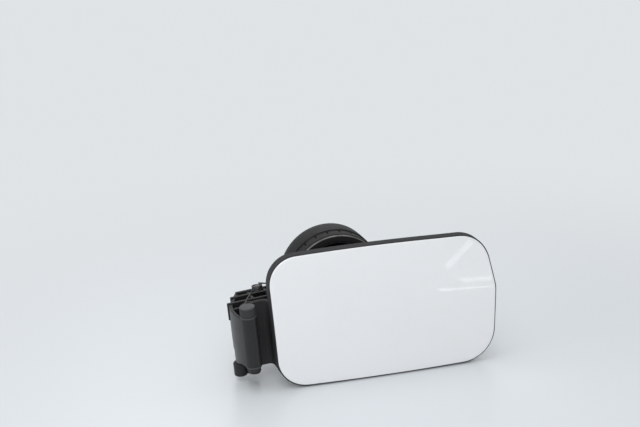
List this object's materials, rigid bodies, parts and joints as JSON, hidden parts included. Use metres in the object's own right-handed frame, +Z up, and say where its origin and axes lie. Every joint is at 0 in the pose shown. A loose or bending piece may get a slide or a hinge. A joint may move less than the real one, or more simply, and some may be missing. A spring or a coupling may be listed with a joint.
{
  "type": "car fuel door",
  "caption": "Car fuel door: a white crowned flap on a black gooseneck hinge arm, with its moulded hinge housing and a rubber filler collar behind.",
  "frame": {"origin": "Centre of the filler bore, on the flat back face of the housing that lies on the car.", "axes": "+X to the right seen from outside the car, +Y into the car, +Z up."},
  "size_m": [0.238, 0.069, 0.1257],
  "materials": {
    "white_paint": "gloss body paint over a clear coat",
    "black_moulding": "black moulded plastic with a fine grain",
    "pin_steel": "dark coated steel",
    "screw_steel": "zinc plated steel",
    "spring_steel": "drawn spring wire",
    "bush_plastic": "smooth bearing plastic",
    "collar_rubber": "black rubber with a dull sheen",
    "buffer_rubber": "soft black rubber"
  },
  "bodies": {
    "housing": {"hinge_housing": "black_moulding", "neck_collar": "collar_rubber", "upper_bush": "bush_plastic", "lower_bush": "bush_plastic", "over_centre_spring": "spring_steel", "mount_sleeve_1": "screw_steel", "mount_sleeve_2": "screw_steel"},
    "flap": {"flap_skin": "white_paint", "flap_frame": "black_moulding", "hinge_arm": "black_moulding", "hinge_pin": "pin_steel", "pin_cap": "black_moulding", "arm_screw_1": "screw_steel", "arm_screw_2": "screw_steel", "arm_screw_3": "screw_steel", "arm_screw_4": "screw_steel", "latch_striker": "black_moulding", "striker_screw_1": "screw_steel", "striker_screw_2": "screw_steel", "buffer_upper": "buffer_rubber", "buffer_lower": "buffer_rubber"}
  },
  "joints": [
    {"name": "flap_hinge", "type": "hinge", "parent": "housing", "child": "flap", "pos_m": [-0.08794, -0.059, -0.0346], "axis": [0.0872, 0, -0.9962], "range_deg": [0, 88], "stiffness_Nm_per_rad": 0.05, "springref_deg": -34.38, "deforming": ["over_centre_spring"]}
  ]
}
